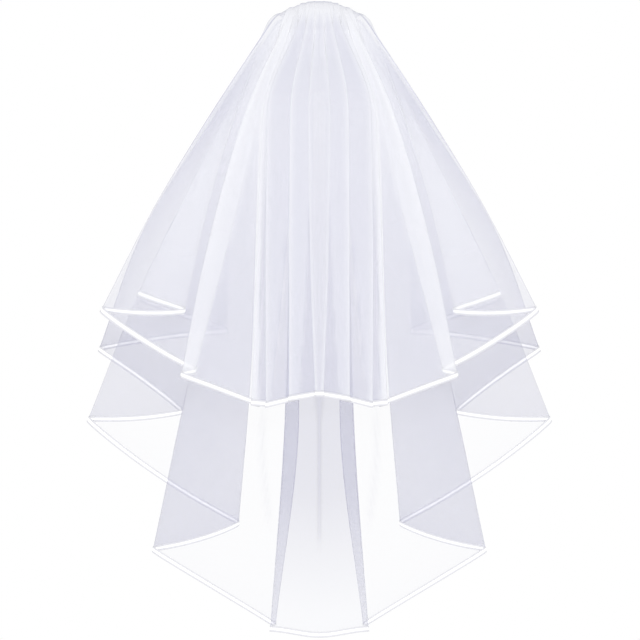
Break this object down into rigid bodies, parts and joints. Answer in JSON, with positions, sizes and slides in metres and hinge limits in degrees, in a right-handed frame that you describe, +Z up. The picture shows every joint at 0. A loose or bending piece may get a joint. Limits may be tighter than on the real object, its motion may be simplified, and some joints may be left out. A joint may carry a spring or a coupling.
{
  "type": "two-tier bridal veil with hair comb",
  "caption": "Two-tier wedding veil of soft tulle with a folded satin ribbon hem, gathered on a hair comb, rolled over in a dome and falling in flutes that climb to the sides.",
  "frame": {"origin": "the middle of the hair comb, where its teeth leave the spine", "axes": "+Z up, +X to the viewer's right when the veil is seen from behind, +Y towards the wearer's face"},
  "size_m": [0.578, 0.2142, 0.7905],
  "materials": {
    "tulle": "sheer white net, matt with a faint sheen",
    "satin": "white satin ribbon, soft gloss",
    "comb": "clear polished plastic"
  },
  "bodies": {
    "root": {"upper_tier": "tulle", "lower_tier": "tulle", "upper_ribbon": "satin", "lower_ribbon": "satin", "gather_band": "satin", "comb": "comb"}
  },
  "joints": []
}
